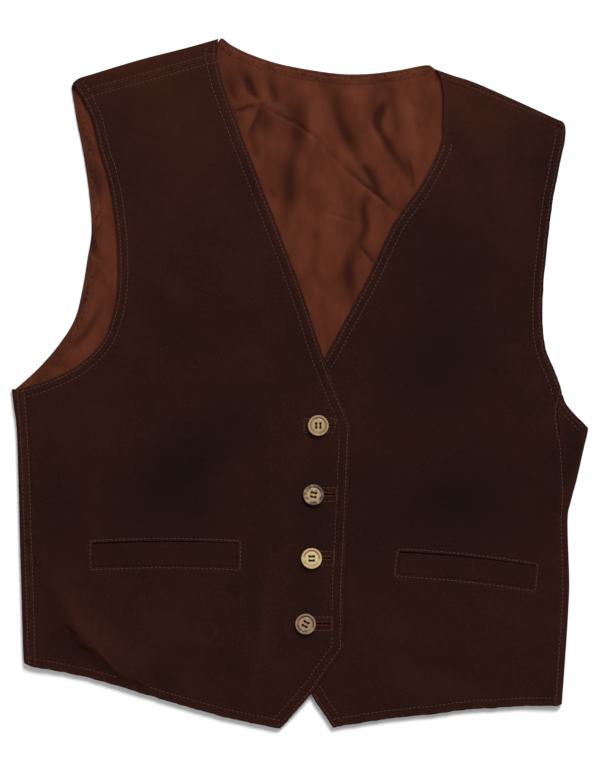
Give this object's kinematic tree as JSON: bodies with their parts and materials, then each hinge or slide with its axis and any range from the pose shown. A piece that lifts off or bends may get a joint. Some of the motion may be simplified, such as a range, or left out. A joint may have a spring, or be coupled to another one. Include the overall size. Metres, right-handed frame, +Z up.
{
  "type": "leather waistcoat",
  "caption": "Single-breasted suede waistcoat with a V neck, pointed fronts, welt pockets and a satin-lined back, buttoned and laid flat on its back.",
  "frame": {"origin": "on the surface that the waistcoat lies on, under the middle of its bounding box", "axes": "+Y from the hem to the neck, +X to the right as the fronts are looked at (the wearer's left), +Z up out of the fronts"},
  "size_m": [0.4666, 0.558, 0.01],
  "materials": {
    "suede": "napped, matt",
    "satin_lining": "soft satin sheen",
    "horn_plastic": "polished, mottled like horn",
    "thread": "matt"
  },
  "bodies": {
    "root": {"back": "suede", "back_lining": "satin_lining", "right_front": "suede", "left_front": "suede", "right_pocket_welt": "suede", "left_pocket_welt": "suede", "button_1": "horn_plastic", "button_2": "horn_plastic", "button_3": "horn_plastic", "button_4": "horn_plastic", "button_shank_1": "thread", "button_shank_2": "thread", "button_shank_3": "thread", "button_shank_4": "thread"}
  },
  "joints": []
}
